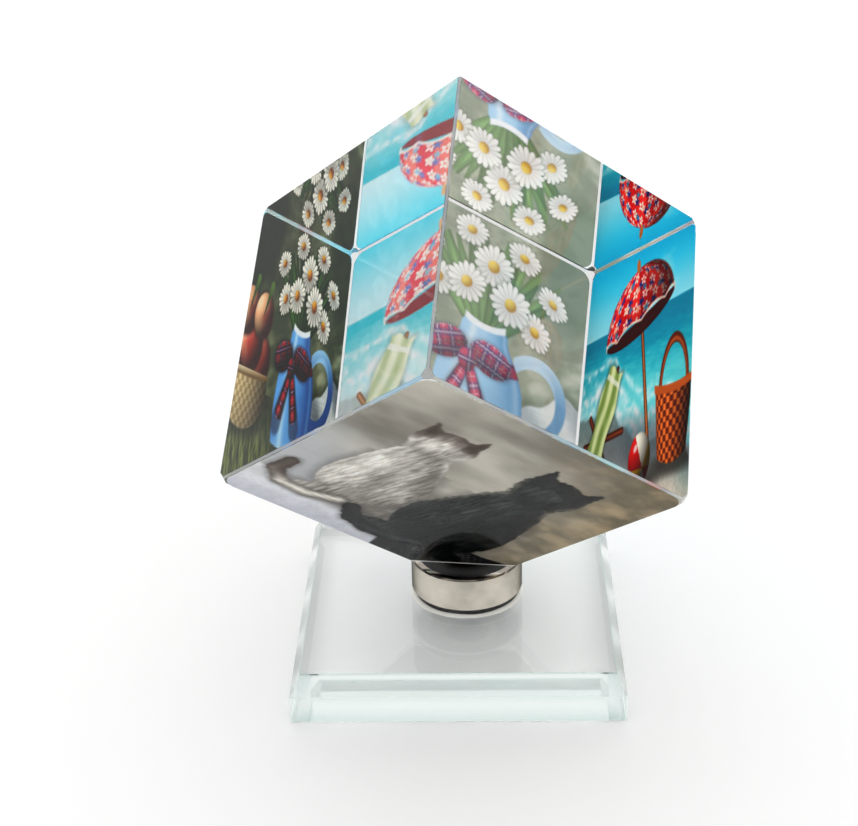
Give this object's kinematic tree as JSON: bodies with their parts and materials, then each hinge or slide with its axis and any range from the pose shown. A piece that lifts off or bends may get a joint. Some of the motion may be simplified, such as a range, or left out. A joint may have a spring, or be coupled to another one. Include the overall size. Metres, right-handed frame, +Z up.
{
  "type": "rotating photo cube",
  "caption": "Clear crystal cube balanced on a ground corner over a square glass plate, with photo prints on its lower faces, free to spin on a small ball bearing.",
  "frame": {"origin": "where the vertical spin axis meets the table, under the cube's lower tip", "axes": "+Z up along the spin axis, -Y the front, +X to the right as seen from the front"},
  "size_m": [0.089, 0.096, 0.114],
  "materials": {
    "base_glass": "clear polished plate glass, faintly green",
    "crystal": "clear polished optical crystal",
    "milky_glue": "milky cured glue, glossy",
    "clear_glue": "clear cured glue, glossy",
    "photo_film": "glossy colour print on thin film",
    "polished_steel": "ground and polished bearing steel",
    "black_steel": "turned steel, blackened",
    "ball_steel": "mirror polished",
    "seal_rubber": "black moulded rubber",
    "cage_nylon": "natural moulded nylon",
    "black_nylon": "black moulded nylon"
  },
  "bodies": {
    "base": {"glass_base": "base_glass", "base_adhesive": "milky_glue", "foot_washer": "black_nylon", "bearing_outer_ring": "polished_steel", "bearing_seal_lower": "seal_rubber", "bearing_seal_upper": "seal_rubber"},
    "cube": {"crystal_cube": "crystal", "photo_front": "photo_film", "photo_left": "photo_film", "photo_right": "photo_film", "cube_adhesive": "clear_glue", "pivot_stud": "black_steel", "bearing_inner_ring": "polished_steel"},
    "ball_set": {"bearing_cage": "cage_nylon", "bearing_ball_1": "ball_steel", "bearing_ball_2": "ball_steel", "bearing_ball_3": "ball_steel", "bearing_ball_4": "ball_steel", "bearing_ball_5": "ball_steel", "bearing_ball_6": "ball_steel", "bearing_ball_7": "ball_steel"}
  },
  "joints": [
    {"name": "cube_spin", "type": "hinge", "parent": "base", "child": "cube", "pos_m": [0, 0, 0.0146], "axis": [0, 0, 1], "continuous": true},
    {"name": "ball_set_roll", "type": "hinge", "parent": "base", "child": "ball_set", "pos_m": [0, 0, 0.0146], "axis": [0, 0, 1], "continuous": true}
  ],
  "couplings": [
    {"joint": "ball_set_roll", "follows": "cube_spin", "ratio": 0.3677}
  ]
}
